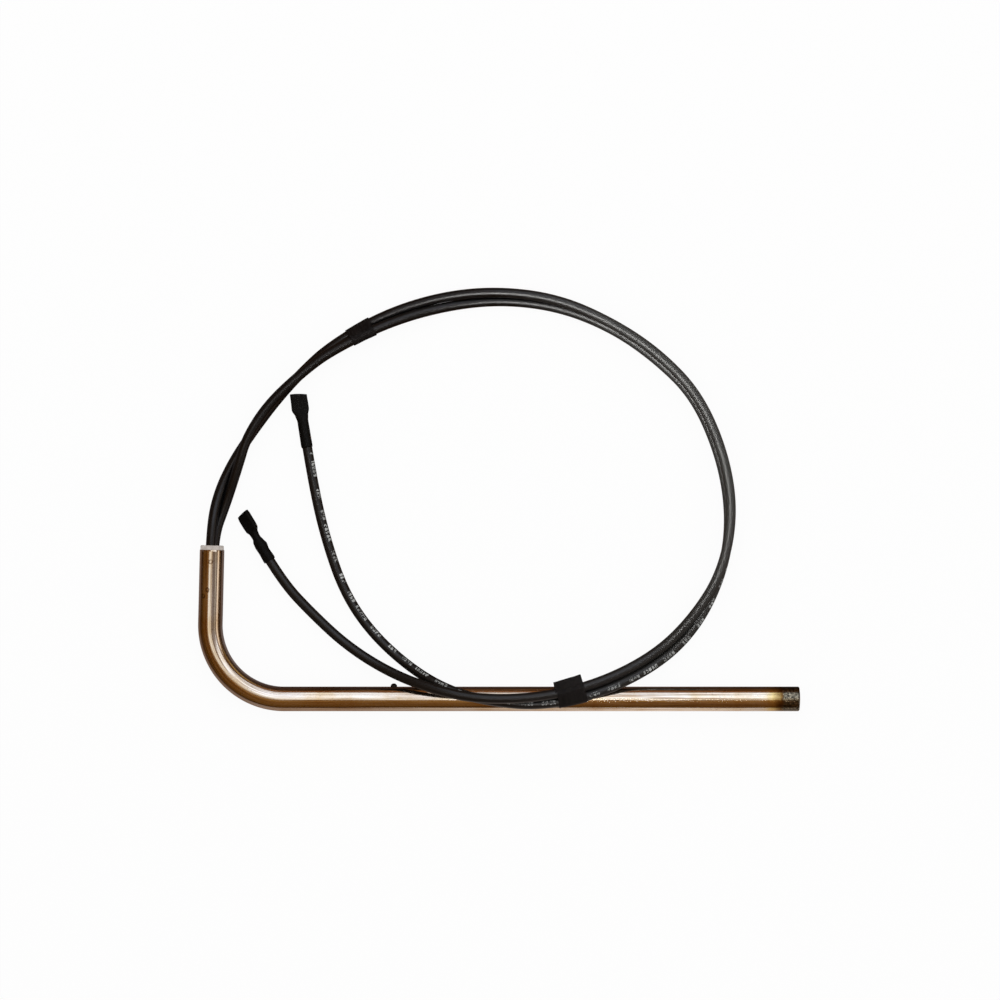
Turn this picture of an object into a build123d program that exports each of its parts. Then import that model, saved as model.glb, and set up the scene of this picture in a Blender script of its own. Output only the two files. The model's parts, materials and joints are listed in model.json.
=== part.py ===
from build123d import *
import math
import os

os.makedirs("parts", exist_ok=True)

# All lengths are in millimetres and all angles in degrees.
# The heater lies on its side: +X runs to the closed tip, +Y up the short leg, +Z up from the table.

# Sheath: a drawn round tube bent once, a little past square
sheath_od = 10.0
sheath_wall = 0.6
bend_radius = 30.0
bend_turn = 91.35
long_leg = 208.7
short_leg = 29.9
mouth_chamfer = 0.2

# Closing disc welded in the tip
tip_cap = 1.0
tip_dome = 0.35
tip_corner = 0.5
tip_spigot = 2.5

# Weld pip on the long leg, placed from the bend
pip_radius = 1.4
pip_place = 44.6

# Seal moulded into the mouth
seal_flange_d = 9.5
seal_proud = 1.8
seal_corner = 0.5
seal_depth = 5.0

# Leads and how they stand in the mouth
lead_od = 4.0
lead_spacing = 4.06
lead_tilt = 16.3
conductor_d = 1.9
lead_a_exit = 9.4
lead_b_exit = 5.8

# Clearances
fit = 0.02
lead_hole_fit = 0.05
pin_hole_fit = 0.05

# Cold pins
pin_d = 1.6
pin_b_reach = 12.0

# Crimped joints between the pins and the leads
splice_length = 11.0
splice_d = 3.0
splice_stop = 0.8
splice_sleeve_d = 4.0
splice_sleeve_over = 1.2
joint_gap = 0.2

# Ceramic bushing below the joints
bushing_length = 4.0

# Winding on extruded magnesia cores
cold_run = 16.0
end_spacer_length = 5.0
core_count = 4
core_d = 6.6
ribbon_thickness = 0.5
ribbon_width = 1.2
coil_turns = 9.5
coil_margin = 0.8

# Tape around both leads
tape_width = 11.0
tape_thickness = 0.35
flag_height = 2.6

# Push-on terminals, measured from the end of the lead's insulation
strip_length = 6.5
sheet = 0.35
insulation_crimp = (-4.2, -0.4)
wire_crimp = (1.2, 6.2)
wire_crimp_wall = 0.43
insulation_crimp_wall = 0.23
receptacle = (10.0, 16.6)
receptacle_width = 6.2
receptacle_height = 2.1
receptacle_corner = 0.7
receptacle_floor = -1.6
receptacle_slit = 2.2
tab_dimple_d = 1.2
strip_width = 2.2

# Shrink sleeves over the terminals
shrink_wall = 0.22
shrink_gap = 0.03
shrink_collar = -4.6
shrink_mouth = 17.1
waist_place = 7.4
waist_width = 3.6
waist_height = 3.4
bulge_place = 2.6
bulge_d = 5.4
terminal_a_roll = -45.0

# Routes of the two leads after they leave the mouth, in the order of travel
lead_a_points = [
    (-114.9, 55.0, 2.0),
    (-108.6, 67.2, 2.0),
    (-101.2, 78.5, 2.0),
    (-90.4, 93.0, 2.0),
    (-79.4, 105.0, 2.0),
    (-68.8, 114.6, 2.35),
    (-46.0, 128.1, 2.35),
    (-24.5, 134.8, 2.0),
    (-0.5, 137.1, 4.9),
    (24.5, 133.8, 5.5),
    (47.2, 123.6, 5.7),
    (64.7, 110.1, 5.8),
    (81.5, 94.2, 5.9),
    (91.8, 69.8, 6.0),
    (95.2, 46.0, 6.2),
    (90.6, 22.5, 6.3),
    (79.0, 4.2, 6.2),
    (63.7, -10.4, 5.4),
    (41.0, -21.8, 14.6),
    (16.6, -27.8, 19.2),
    (-8.0, -28.6, 21.0),
    (-27.0, -24.6, 19.6),
    (-45.0, -17.8, 9.5),
    (-62.0, -7.2, 2.0),
    (-76.6, 6.4, 2.0),
    (-88.2, 19.0, 3.35),
    (-95.7, 31.6, 3.35),
]
lead_b_points = [
    (-111.2, 50.0, 2.0),
    (-105.6, 66.2, 5.2),
    (-102.5, 77.6, 6.5),
    (-93.5, 91.5, 6.1),
    (-78.7, 105.0, 6.4),
    (-68.2, 112.6, 6.1),
    (-43.6, 124.7, 4.6),
    (-22.5, 130.9, 2.0),
    (0.5, 133.6, 2.0),
    (24.5, 130.8, 2.0),
    (46.4, 122.0, 2.0),
    (63.5, 108.6, 2.0),
    (80.0, 93.9, 2.0),
    (90.4, 69.5, 2.0),
    (94.2, 46.5, 2.0),
    (92.0, 25.5, 2.0),
    (82.0, 2.5, 2.0),
    (66.3, -14.4, 8.6),
    (40.8, -26.9, 17.2),
    (16.2, -31.4, 16.2),
    (-6.5, -29.2, 16.3),
    (-22.7, -24.2, 16.2),
    (-37.8, -15.0, 8.0),
    (-52.5, -1.2, 2.0),
    (-62.9, 14.5, 2.0),
    (-70.0, 34.5, 2.0),
    (-75.3, 56.5, 2.5),
    (-78.8, 78.2, 2.5),
]
# Runs of the two leads whose middles the tapes hold
upper_tape_runs = (lead_a_points[5:7], lead_b_points[5:7])
lower_tape_runs = (lead_a_points[18:20], lead_b_points[18:20])

# Radii and offsets that follow from the sizes
outer_r = sheath_od / 2
bore_r = outer_r - sheath_wall
packed_r = bore_r - fit
lead_r = lead_od / 2
pin_r = pin_d / 2
conductor_r = conductor_d / 2
core_r = core_d / 2
coil_r = core_r + fit + ribbon_thickness / 2
shrink_r = lead_r + insulation_crimp_wall + shrink_gap + shrink_wall
side = lead_spacing / 2 * math.sin(math.radians(lead_tilt))
rise = lead_spacing / 2 * math.cos(math.radians(lead_tilt))

# Places along the two legs, from the outside in
insulation_depth = seal_depth + joint_gap
splice_top = insulation_depth + joint_gap
splice_bottom = splice_top + splice_length
splice_middle = splice_top + splice_length / 2
bushing_depth = splice_bottom + splice_sleeve_over + joint_gap
fill_depth = bushing_depth + bushing_length
winding_end = long_leg - tip_spigot - end_spacer_length
core_length = (winding_end - cold_run) / core_count

# The origin is under the middle of the heater's own outline, without the leads
lean = math.radians(bend_turn - 90)
reach_up = bend_radius * math.sin(lean) + (short_leg + seal_proud) * math.cos(lean)
reach_up += seal_flange_d / 2 * math.sin(lean)
bend_x = (bend_radius + outer_r - long_leg - tip_cap) / 2
bend_y = (bend_radius + outer_r - reach_up) / 2
leg_y = bend_y - bend_radius
leg_end = Vector(bend_x, leg_y, outer_r)
outward = Vector(math.sin(lean), math.cos(lean), 0)
across = Vector(-math.cos(lean), math.sin(lean), 0)
bend_end = Vector(bend_x, bend_y, outer_r) + across * bend_radius
mouth_point = bend_end + outward * short_leg

# Working planes: the long leg looks to the tip, the mouth looks out of the short leg.
# In the mouth plane x is to the left of the way out and y is up.
leg_plane = Plane(origin=leg_end, x_dir=(0, 1, 0), z_dir=(1, 0, 0))
mouth_plane = Plane(origin=mouth_point, x_dir=across, z_dir=outward)


def along_sheath(section, start, end):
    """Sweep a section round the bend, from start on the long leg to end on the short leg."""
    corner = leg_end - Vector(bend_radius * math.tan(math.radians(bend_turn / 2)), 0, 0)
    path = FilletPolyline(
        leg_end + Vector(start, 0, 0), corner, bend_end + outward * end, radius=bend_radius
    )
    head = Plane(origin=path @ 0, x_dir=(0, -1, 0), z_dir=(-1, 0, 0))
    return sweep(head * section, path=path)


def leg_bar(section, start, length):
    """Extrude a section along the long leg."""
    return extrude(leg_plane.offset(start) * section, length)


def mouth_bar(section, depth_from, depth_to):
    """Extrude a section down the short leg, between two depths below the rim."""
    return extrude(mouth_plane.offset(-depth_to) * section, depth_to - depth_from)


def pin_holes():
    """The two pin holes of a core, bushing or fill, seen from the mouth."""
    hole = Circle(pin_r + pin_hole_fit)
    return Pos(side, rise) * hole + Pos(-side, -rise) * hole


def mirrored_pin_holes():
    """The same two holes, seen along the long leg towards the tip."""
    hole = Circle(pin_r + pin_hole_fit)
    return Pos(-side, rise) * hole + Pos(side, -rise) * hole


# Sheath and what closes it
def sheath_tube():
    ring = Circle(outer_r) - Circle(bore_r)
    tube = along_sheath(ring, long_leg, short_leg)
    rim = tube.edges().filter_by(GeomType.CIRCLE).sort_by_distance(mouth_point)[0:2]
    return chamfer(rim, mouth_chamfer)


def end_disc():
    spigot = leg_bar(Circle(packed_r), long_leg - tip_spigot, tip_spigot)
    dome_r = (outer_r**2 + tip_dome**2) / (2 * tip_dome)
    cap = extrude(Circle(outer_r), tip_cap) & Pos(0, 0, tip_cap - dome_r) * Sphere(dome_r)
    rim = cap.edges().group_by(SortBy.LENGTH)[-1].sort_by(Axis.Z)[-1]
    cap = fillet(rim, tip_corner)
    return leg_plane.offset(long_leg) * cap + spigot


def stop_pip():
    ball = leg_plane.offset(pip_place) * Pos(outer_r, 0) * Sphere(pip_radius)
    return ball - leg_bar(Circle(outer_r), 0, long_leg)


def end_seal():
    spigot = mouth_bar(Circle(packed_r), 0, seal_depth)
    flange = extrude(mouth_plane * Circle(seal_flange_d / 2), seal_proud)
    rims = flange.edges().filter_by(GeomType.CIRCLE)
    edge = rims.sort_by_distance(mouth_point + outward * (2 * seal_proud))[0]
    flange = fillet(edge, seal_corner)
    hole = Circle(lead_r + lead_hole_fit)
    holes = Pos(side, rise) * hole + Pos(-side, -rise) * hole
    return spigot + flange - mouth_bar(holes, -2 * seal_proud, 2 * seal_depth)


# Insulation and winding inside the sheath
def magnesia_core(number):
    start = cold_run + number * core_length
    core = leg_bar(Circle(core_r) - mirrored_pin_holes(), start, core_length)
    slot_depth = 2 * (coil_margin + ribbon_width + fit)
    slot = Pos(core_r, 0) * Box(core_r * 2 - lead_spacing + pin_d, ribbon_thickness + 2 * fit, slot_depth)
    if number == 0:
        core -= winding_plane(start) * slot
    if number == core_count - 1:
        core -= winding_plane(start + core_length) * Rot(0, 0, 180) * slot
    return core


def winding_plane(place):
    """A plane across the long leg, turned so that its x points at pin b."""
    return leg_plane.offset(place).location * Rot(0, 0, lead_tilt - 90)


def heating_coil():
    """A flat ribbon wound on edge-to-edge cores, with a tail from each end to its pin."""
    length = core_count * core_length - 2 * coil_margin - ribbon_width
    helix = Helix(pitch=length / coil_turns, height=length, radius=coil_r)
    start = Plane(origin=helix @ 0, x_dir=(1, 0, 0), z_dir=helix % 0)
    ribbon = sweep(start * Rectangle(ribbon_thickness, ribbon_width), path=helix, is_frenet=True)
    inner = lead_spacing / 2 + pin_r
    outer = coil_r + ribbon_thickness / 2
    tail = Pos((inner + outer) / 2, 0) * Box(outer - inner, ribbon_thickness, ribbon_width)
    far_tail = Pos(0, 0, length) * Rot(0, 0, 180) * tail
    return winding_plane(cold_run + coil_margin + ribbon_width / 2) * (ribbon + tail + far_tail)


def magnesia_fill():
    ring = Circle(packed_r) - Circle(coil_r + ribbon_thickness / 2 + 4 * fit)
    return leg_bar(ring, cold_run, core_count * core_length)


def bend_fill():
    return along_sheath(Circle(packed_r) - pin_holes(), cold_run, short_leg - fill_depth)


def end_spacer():
    return leg_bar(Circle(packed_r), winding_end, end_spacer_length)


def end_bushing():
    return mouth_bar(Circle(packed_r) - pin_holes(), bushing_depth, fill_depth)


def cold_pin(turned, start):
    """A pin from start on the long leg up into its splice barrel."""
    section = Pos(turned * side, turned * rise) * Circle(pin_r)
    return along_sheath(section, start, short_leg - splice_middle - splice_stop / 2)


# Joints between pins and leads
def splice_barrel(turned):
    body = Circle(splice_d / 2)
    place = Pos(turned * side, turned * rise)
    barrel = mouth_bar(place * body, splice_top, splice_bottom)
    wire_end = splice_middle - splice_stop / 2
    pin_end = splice_middle + splice_stop / 2
    barrel -= mouth_bar(place * Circle(conductor_r + fit), splice_top, wire_end)
    return barrel - mouth_bar(place * Circle(pin_r + fit), pin_end, splice_bottom)


def splice_sleeve(turned):
    ring = Circle(splice_sleeve_d / 2) - Circle(splice_d / 2 + fit)
    place = Pos(turned * side, turned * rise)
    return mouth_bar(place * ring, splice_top, splice_bottom + splice_sleeve_over)


# Leads
def lead_route(turned, exit_run, points):
    """Corners of a lead's route, from the end of its insulation inside the mouth."""
    start = mouth_plane.from_local_coords(Vector(turned * side, turned * rise, -insulation_depth))
    turn = mouth_plane.from_local_coords(Vector(turned * side, turned * rise, exit_run))
    return [start, turn] + [Vector(point) for point in points]


def corner_radii(route):
    """The arc at each corner takes 0.45 of the shorter run beside it."""
    radii = []
    for before, corner, after in zip(route, route[1:], route[2:]):
        shorter = min((corner - before).length, (after - corner).length)
        half_turn = math.radians((corner - before).get_angle(after - corner)) / 2
        radii.append(0.45 * shorter / math.tan(half_turn))
    return radii


def lead_path(route):
    return FilletPolyline(*route, radius=corner_radii(route))


def tube_along(path, radius):
    return sweep(Plane(origin=path @ 0, z_dir=path % 0) * Circle(radius), path=path)


def lead(route):
    path = lead_path(route)
    inner_bare = Plane(origin=path @ 0, z_dir=-(path % 0)) * Circle(conductor_r)
    outer_bare = Plane(origin=path @ 1, z_dir=path % 1) * Circle(conductor_r)
    inner_strip = splice_middle - splice_stop / 2 - insulation_depth - fit
    return tube_along(path, lead_r) + extrude(inner_bare, inner_strip) + extrude(outer_bare, strip_length)


# Tape
def tape_wrap(runs, flag):
    """Tape around both leads, centred on the middles of one run of each."""
    (start_a, end_a), (start_b, end_b) = [[Vector(point) for point in run] for run in runs]
    middle_a = (start_a + end_a) / 2
    middle_b = (start_b + end_b) / 2
    plane = Plane(origin=(middle_a + middle_b) / 2, x_dir=middle_a - middle_b, z_dir=end_a - start_a)
    apart = (middle_a - middle_b).length
    band = SlotCenterToCenter(apart, 2 * (lead_r + tape_thickness))
    if flag:
        edge = apart / 2 + lead_r
        band += Pos(edge + flag_height / 2) * Rectangle(flag_height, 2 * tape_thickness)
    wrap = extrude(plane * band, tape_width / 2, both=True)
    for route in (route_a, route_b):
        wrap -= tube_along(lead_path(route), lead_r + fit)
    return wrap


# Terminals
def terminal_plane(route, roll):
    """A plane at the end of the insulation, looking along the terminal, with y up."""
    way = (route[-1] - route[-2]).normalized()
    upright = Plane(origin=route[-1], x_dir=Vector(0, 0, 1).cross(way), z_dir=way)
    return Plane(upright.location * Rot(0, 0, roll))


def push_on_terminal(plane):
    def bar(section, span):
        return extrude(plane.offset(span[0]) * section, span[1] - span[0])

    middle = receptacle_floor + receptacle_height / 2
    inner_width = receptacle_width - 2 * sheet
    inner_height = receptacle_height - 2 * sheet
    rolled = RectangleRounded(receptacle_width, receptacle_height, receptacle_corner)
    rolled -= RectangleRounded(inner_width, inner_height, receptacle_corner - sheet * 0.8)
    rolled -= Pos(0, receptacle_height / 2) * Rectangle(receptacle_slit, receptacle_height)
    body = bar(Pos(0, middle) * rolled, receptacle)
    wire_r_out = conductor_r + fit + wire_crimp_wall
    grip_r_out = lead_r + fit + insulation_crimp_wall
    profile = [
        (insulation_crimp[0], -grip_r_out),
        (insulation_crimp[1], -grip_r_out),
        (wire_crimp[0], -wire_r_out),
        (wire_crimp[1], -wire_r_out),
        (receptacle[0], receptacle_floor),
        (receptacle[0] + sheet, receptacle_floor),
    ]
    top = [(u, v + sheet) for u, v in reversed(profile)]
    side_plane = Plane(origin=plane.origin, x_dir=plane.z_dir, z_dir=-plane.x_dir)
    spine = side_plane * make_face(Polyline(*profile, *top, close=True))
    spine = extrude(spine, strip_width / 2, both=True)
    spine &= bar(Circle(grip_r_out), (insulation_crimp[0], receptacle[1]))
    body += spine
    body += bar(Circle(wire_r_out) - Circle(conductor_r + fit), wire_crimp)
    body += bar(Circle(grip_r_out) - Circle(lead_r + fit), insulation_crimp)
    body -= bar(Circle(lead_r + fit), (insulation_crimp[0], 0))
    body -= bar(Circle(conductor_r + fit), (insulation_crimp[0], strip_length + fit))
    dimple_place = (receptacle[0] + receptacle[1]) / 2
    dimple = plane.offset(dimple_place) * Pos(0, receptacle_floor) * Rot(90, 0, 0)
    return body - dimple * Cylinder(tab_dimple_d / 2, 3 * sheet)


def sleeve_skin(plane, stations, inset):
    """Loft through rounded sections given as place, width, height, middle height and corner."""
    sections = []
    for place, width, height, middle, corner in stations:
        shape = RectangleRounded(width - 2 * inset, height - 2 * inset, corner - inset)
        sections.append(plane.offset(place) * Pos(0, middle) * shape)
    return loft(sections, ruled=True)


def shrink_sleeve(plane, waisted):
    middle = receptacle_floor + receptacle_height / 2
    wide = receptacle_width + 2 * (shrink_gap + shrink_wall)
    tall = receptacle_height + 2 * (shrink_gap + shrink_wall)
    corner = receptacle_corner + shrink_gap + shrink_wall
    round_d = 2 * shrink_r
    stations = [(shrink_collar, round_d, round_d, 0, shrink_r - fit)]
    if waisted:
        stations.append((bulge_place, bulge_d, bulge_d, 0, bulge_d / 2 - fit))
        underside = receptacle_floor - shrink_gap - shrink_wall
        stations.append((waist_place, waist_width, waist_height, underside + waist_height / 2, corner))
    else:
        stations.append((wire_crimp[1], round_d, round_d, 0, shrink_r - fit))
    stations.append((receptacle[0] - sheet, wide, tall, middle, corner))
    stations.append((shrink_mouth, wide, tall, middle, corner))
    skin = sleeve_skin(plane, stations, 0)
    return skin - sleeve_skin(plane, stations, shrink_wall)


route_a = lead_route(1, lead_a_exit, lead_a_points)
route_b = lead_route(-1, lead_b_exit, lead_b_points)
plane_a = terminal_plane(route_a, terminal_a_roll)
plane_b = terminal_plane(route_b, 0)

parts = {
    "sheath_tube": sheath_tube(),
    "end_disc": end_disc(),
    "stop_pip": stop_pip(),
    "end_seal": end_seal(),
    "end_spacer": end_spacer(),
    "heating_coil": heating_coil(),
    "magnesia_fill": magnesia_fill(),
    "bend_fill": bend_fill(),
    "pin_a": cold_pin(1, winding_end),
    "pin_b": cold_pin(-1, cold_run + pin_b_reach),
    "end_bushing": end_bushing(),
    "splice_barrel_a": splice_barrel(1),
    "splice_barrel_b": splice_barrel(-1),
    "splice_sleeve_a": splice_sleeve(1),
    "splice_sleeve_b": splice_sleeve(-1),
    "lead_a": lead(route_a),
    "lead_b": lead(route_b),
    "tape_wrap_upper": tape_wrap(upper_tape_runs, False),
    "tape_wrap_lower": tape_wrap(lower_tape_runs, True),
    "terminal_a": push_on_terminal(plane_a),
    "terminal_b": push_on_terminal(plane_b),
    "terminal_sleeve_a": shrink_sleeve(plane_a, True),
    "terminal_sleeve_b": shrink_sleeve(plane_b, False),
}
for number in range(core_count):
    parts[f"magnesia_core_{number + 1}"] = magnesia_core(number)

for name, shape in parts.items():
    export_step(shape, f"parts/{name}.step")

for name, route in (("lead_a", route_a), ("lead_b", route_b)):
    length = lead_path(route).length
    print(name, "corner radii", [round(radius, 1) for radius in corner_radii(route)])
    print(name, "length", round(length, 1), "section times length", round(length * math.pi * lead_r**2, 1))
    print(name, "tube volume", round(tube_along(lead_path(route), lead_r).volume, 1))
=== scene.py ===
"""Heating element: a bent tubular heater lying on a pale floor, its two leads in a taped loop."""
import json
import logging
import math
from dataclasses import dataclass, field
from enum import Enum
from functools import cached_property
from typing import Callable, Optional, Sequence, Union

import bpy
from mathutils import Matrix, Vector, noise


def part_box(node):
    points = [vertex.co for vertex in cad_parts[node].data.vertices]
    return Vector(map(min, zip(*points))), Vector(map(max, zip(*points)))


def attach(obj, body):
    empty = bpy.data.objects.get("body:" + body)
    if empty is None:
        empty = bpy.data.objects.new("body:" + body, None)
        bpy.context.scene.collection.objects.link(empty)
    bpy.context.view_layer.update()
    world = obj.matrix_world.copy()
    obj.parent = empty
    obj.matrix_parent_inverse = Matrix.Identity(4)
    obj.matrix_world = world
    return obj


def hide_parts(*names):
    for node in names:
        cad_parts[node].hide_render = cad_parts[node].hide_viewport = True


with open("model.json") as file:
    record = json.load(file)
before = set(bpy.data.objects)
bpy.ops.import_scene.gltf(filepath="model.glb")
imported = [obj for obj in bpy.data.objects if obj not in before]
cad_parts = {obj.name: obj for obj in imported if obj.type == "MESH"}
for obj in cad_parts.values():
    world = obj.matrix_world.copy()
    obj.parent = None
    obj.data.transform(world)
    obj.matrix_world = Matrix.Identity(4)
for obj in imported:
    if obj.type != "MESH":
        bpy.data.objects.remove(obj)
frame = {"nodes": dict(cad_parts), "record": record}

LOG = logging.getLogger("heating_element")
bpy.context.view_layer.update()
BODY = "root"
MM = 0.001
WHITE = "#FFFFFF"
BLACK = "#000000"

Point = tuple[float, float, float]
Colour = tuple[float, float, float, float]
Stops = tuple[tuple[float, str], ...]
Key = Union[int, str]
# What feeds an input: a node, for its first output, or a node and one of its outputs
Feed = Union[bpy.types.Node, tuple[bpy.types.Node, Key]]

# Settings of Math and Mix nodes; a Mix of colours takes them at 6 and 7 and gives one at 2
PRODUCT = {"operation": "MULTIPLY"}
QUOTIENT = {"operation": "DIVIDE"}
SCALE_ADD = {"operation": "MULTIPLY_ADD"}
LARGER = {"operation": "MAXIMUM"}
BELOW = {"operation": "LESS_THAN"}
BLEND = {"data_type": "RGBA"}
DARKEN_BY = {"data_type": "RGBA", "blend_type": "MULTIPLY"}


# Small helpers


def tone(code: str) -> Colour:
    """Turn an sRGB hex colour into a linear one.

    Args:
        code: Six hex digits with a leading hash.

    Returns:
        Linear red, green, blue and an alpha of 1.
    """
    channels = [int(code[i : i + 2], 16) / 255 for i in (1, 3, 5)]
    linear = [c / 12.92 if c <= 0.04045 else ((c + 0.055) / 1.055) ** 2.4 for c in channels]
    return (linear[0], linear[1], linear[2], 1.0)


def ease(value: float, low: float, high: float) -> float:
    """Rise smoothly from 0 at low to 1 at high.

    Args:
        value: Where on the ramp.
        low: Start of the ramp.
        high: End of the ramp.

    Returns:
        The height of the ramp.
    """
    t = min(1.0, max(0.0, (value - low) / (high - low)))
    return t * t * (3 - 2 * t)


def in_metres(points: Sequence[Point]) -> list[Vector]:
    """Turn a route in millimetres into vectors in metres."""
    return [Vector(point) * MM for point in points]


def clear_selection() -> None:
    """Leave edit mode and deselect everything."""
    if bpy.context.mode != "OBJECT":
        bpy.ops.object.mode_set(mode="OBJECT")
    bpy.ops.object.select_all(action="DESELECT")


def make_active(piece: bpy.types.Object) -> None:
    """Select one object alone and make it active."""
    clear_selection()
    piece.select_set(True)
    bpy.context.view_layer.objects.active = piece


def settle(piece: bpy.types.Object) -> None:
    """Move the object's place, turn and size into its mesh."""
    make_active(piece)
    bpy.ops.object.transform_apply(location=True, rotation=True, scale=True)


def edit_edges(piece: bpy.types.Object, wanted: Callable[[Vector, Vector], bool]) -> None:
    """Open a mesh for editing with only some edges selected.

    Args:
        piece: The object.
        wanted: Says of an edge's two ends whether it is selected.
    """
    make_active(piece)
    bpy.context.tool_settings.mesh_select_mode = (False, True, False)
    mesh = piece.data
    mesh.vertices.foreach_set("select", [False] * len(mesh.vertices))
    mesh.polygons.foreach_set("select", [False] * len(mesh.polygons))
    for edge in mesh.edges:
        start, end = (mesh.vertices[i].co for i in edge.vertices)
        edge.select = wanted(start, end)
    bpy.ops.object.mode_set(mode="EDIT")


def edit_faces(piece: bpy.types.Object, wanted: Callable[[Vector], bool]) -> None:
    """Open a mesh for editing with only the faces selected whose normals are wanted."""
    make_active(piece)
    bpy.context.tool_settings.mesh_select_mode = (False, False, True)
    mesh = piece.data
    mesh.vertices.foreach_set("select", [False] * len(mesh.vertices))
    mesh.edges.foreach_set("select", [False] * len(mesh.edges))
    for polygon in mesh.polygons:
        polygon.select = wanted(polygon.normal)
    bpy.ops.object.mode_set(mode="EDIT")


def end_edit() -> None:
    """Leave edit mode, with points selectable again."""
    bpy.ops.object.mode_set(mode="OBJECT")
    bpy.context.tool_settings.mesh_select_mode = (True, False, False)


def apply_modifier(piece: bpy.types.Object, kind: str, **settings: object) -> None:
    """Add a modifier and apply it at once.

    Args:
        piece: The object it works on.
        kind: Blender's name for the kind of modifier.
        **settings: Attributes of the modifier.
    """
    make_active(piece)
    modifier = piece.modifiers.new(kind.title(), kind)
    for name, value in settings.items():
        setattr(modifier, name, value)
    bpy.ops.object.modifier_apply(modifier=modifier.name)


def close_normals(piece: bpy.types.Object) -> None:
    """Merge doubles and point all faces outwards."""
    make_active(piece)
    bpy.ops.object.mode_set(mode="EDIT")
    bpy.ops.mesh.select_all(action="SELECT")
    bpy.ops.mesh.remove_doubles(threshold=1e-7)
    bpy.ops.mesh.normals_make_consistent(inside=False)
    bpy.ops.object.mode_set(mode="OBJECT")


def smooth(piece: bpy.types.Object, degrees: float = 35.0) -> None:
    """Shade smooth, but keep edges sharper than an angle."""
    make_active(piece)
    bpy.ops.object.shade_smooth_by_angle(angle=math.radians(degrees))


def mesh_piece(name: str, points: Sequence[Vector], faces: Sequence[Sequence[int]]) -> bpy.types.Object:
    """Make an object from points and faces.

    Args:
        name: Name of the piece.
        points: Its points, in metres.
        faces: Point numbers of each face.

    Returns:
        The new object, in the scene.
    """
    mesh = bpy.data.meshes.new(name)
    mesh.from_pydata([tuple(point) for point in points], [], [tuple(face) for face in faces])
    piece = bpy.data.objects.new(name, mesh)
    bpy.context.scene.collection.objects.link(piece)
    return piece


def ring_faces(first: int, around: int, rings: int) -> list[tuple[int, ...]]:
    """Faces of a skin between rings of points that are numbered one after the other.

    Args:
        first: Number of the first point.
        around: Points in a ring.
        rings: How many rings there are.

    Returns:
        The point numbers of each face.
    """
    faces = []
    for start in range(first, first + (rings - 1) * around, around):
        for c in range(around):
            d = (c + 1) % around
            faces.append((start + c, start + d, start + around + d, start + around + c))
    return faces


def add_node(
    tree: bpy.types.NodeTree,
    kind: str,
    settings: Optional[dict[str, object]] = None,
    values: Optional[dict[Key, object]] = None,
    links: Optional[dict[Key, Feed]] = None,
    stops: Stops = (),
) -> bpy.types.Node:
    """Add one shader node.

    Args:
        tree: Node tree that gets the node.
        kind: Blender's type name of the node, without ShaderNode in front.
        settings: Attributes of the node, by name.
        values: Fixed values of inputs, by input name or number.
        links: What feeds an input, by input name or number.
        stops: Place and sRGB hex colour of each stop, in order, where the node is a colour ramp.

    Returns:
        The new node.
    """
    node = tree.nodes.new("ShaderNode" + kind)
    for name, value in (settings or {}).items():
        setattr(node, name, value)
    for key, value in (values or {}).items():
        node.inputs[key].default_value = value
    for key, feed in (links or {}).items():
        source, output = feed if isinstance(feed, tuple) else (feed, 0)
        tree.links.new(source.outputs[output], node.inputs[key])
    if stops:
        elements = node.color_ramp.elements
        elements[0].position, elements[0].color = stops[0][0], tone(stops[0][1])
        elements[1].position, elements[1].color = stops[-1][0], tone(stops[-1][1])
        for place, code in stops[1:-1]:
            elements.new(place).color = tone(code)
    return node


def span(low: float, high: float, start: float = 0.0, end: float = 1.0) -> dict[Key, object]:
    """Values of a Map Range node that goes from start at low to end at high."""
    return {"From Min": low, "From Max": high, "To Min": start, "To Max": end}


def grain(size_mm: float, detail: float, rough: float = 0.5) -> dict[Key, object]:
    """Values of a Noise node whose features have a real size in millimetres."""
    return {"Scale": 1 / (size_mm * MM), "Detail": detail, "Roughness": rough}


def band(tree: bpy.types.NodeTree, source: Feed, low: float, high: float, soft: float) -> bpy.types.Node:
    """Add a mask that is 1 between two values and fades to 0 outside them.

    Args:
        tree: Node tree that gets it.
        source: What drives it.
        low: Lower edge.
        high: Upper edge.
        soft: Half the width of each fade, at an edge near 0, and wider further out.

    Returns:
        The node of the mask.
    """
    fade_low = soft * (1 + low * low)
    fade_high = soft * (1 + high * high)
    rise = add_node(tree, "MapRange", values=span(low - fade_low, low + fade_low), links={0: source})
    fall = add_node(tree, "MapRange", values=span(high + fade_high, high - fade_high), links={0: source})
    return add_node(tree, "Math", PRODUCT, links={0: rise, 1: fall})


def blank_material(name: str) -> tuple[bpy.types.Material, bpy.types.NodeTree]:
    """Make a material with no nodes.

    Args:
        name: What the material is and how its surface was made.

    Returns:
        The material and its node tree.
    """
    material = bpy.data.materials.new(name)
    material.use_nodes = True
    material.node_tree.nodes.clear()
    return material, material.node_tree


def dress(piece: bpy.types.Object, material: bpy.types.Material) -> None:
    """Give a piece one material all over."""
    piece.data.materials.clear()
    piece.data.materials.append(material)


def mount(piece: bpy.types.Object, slot: str, *nodes: str) -> None:
    """Fix a finished piece to the object.

    Args:
        piece: The piece, with its place in its mesh.
        slot: Name of a material slot in the record; not used.
        *nodes: CAD nodes that it stands for.
    """
    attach(piece, BODY)
    if nodes:
        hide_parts(*nodes)
    LOG.info("%s: %d faces", piece.name, len(piece.data.polygons))


# Camera, light and floor


@dataclass(frozen=True)
class SoftBox:
    """A soft box as shiny pieces mirror it, by the slopes of its edges from straight up."""

    tint: str
    radiance: float
    east: tuple[float, float]
    north: tuple[float, float]
    soft: float


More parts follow.
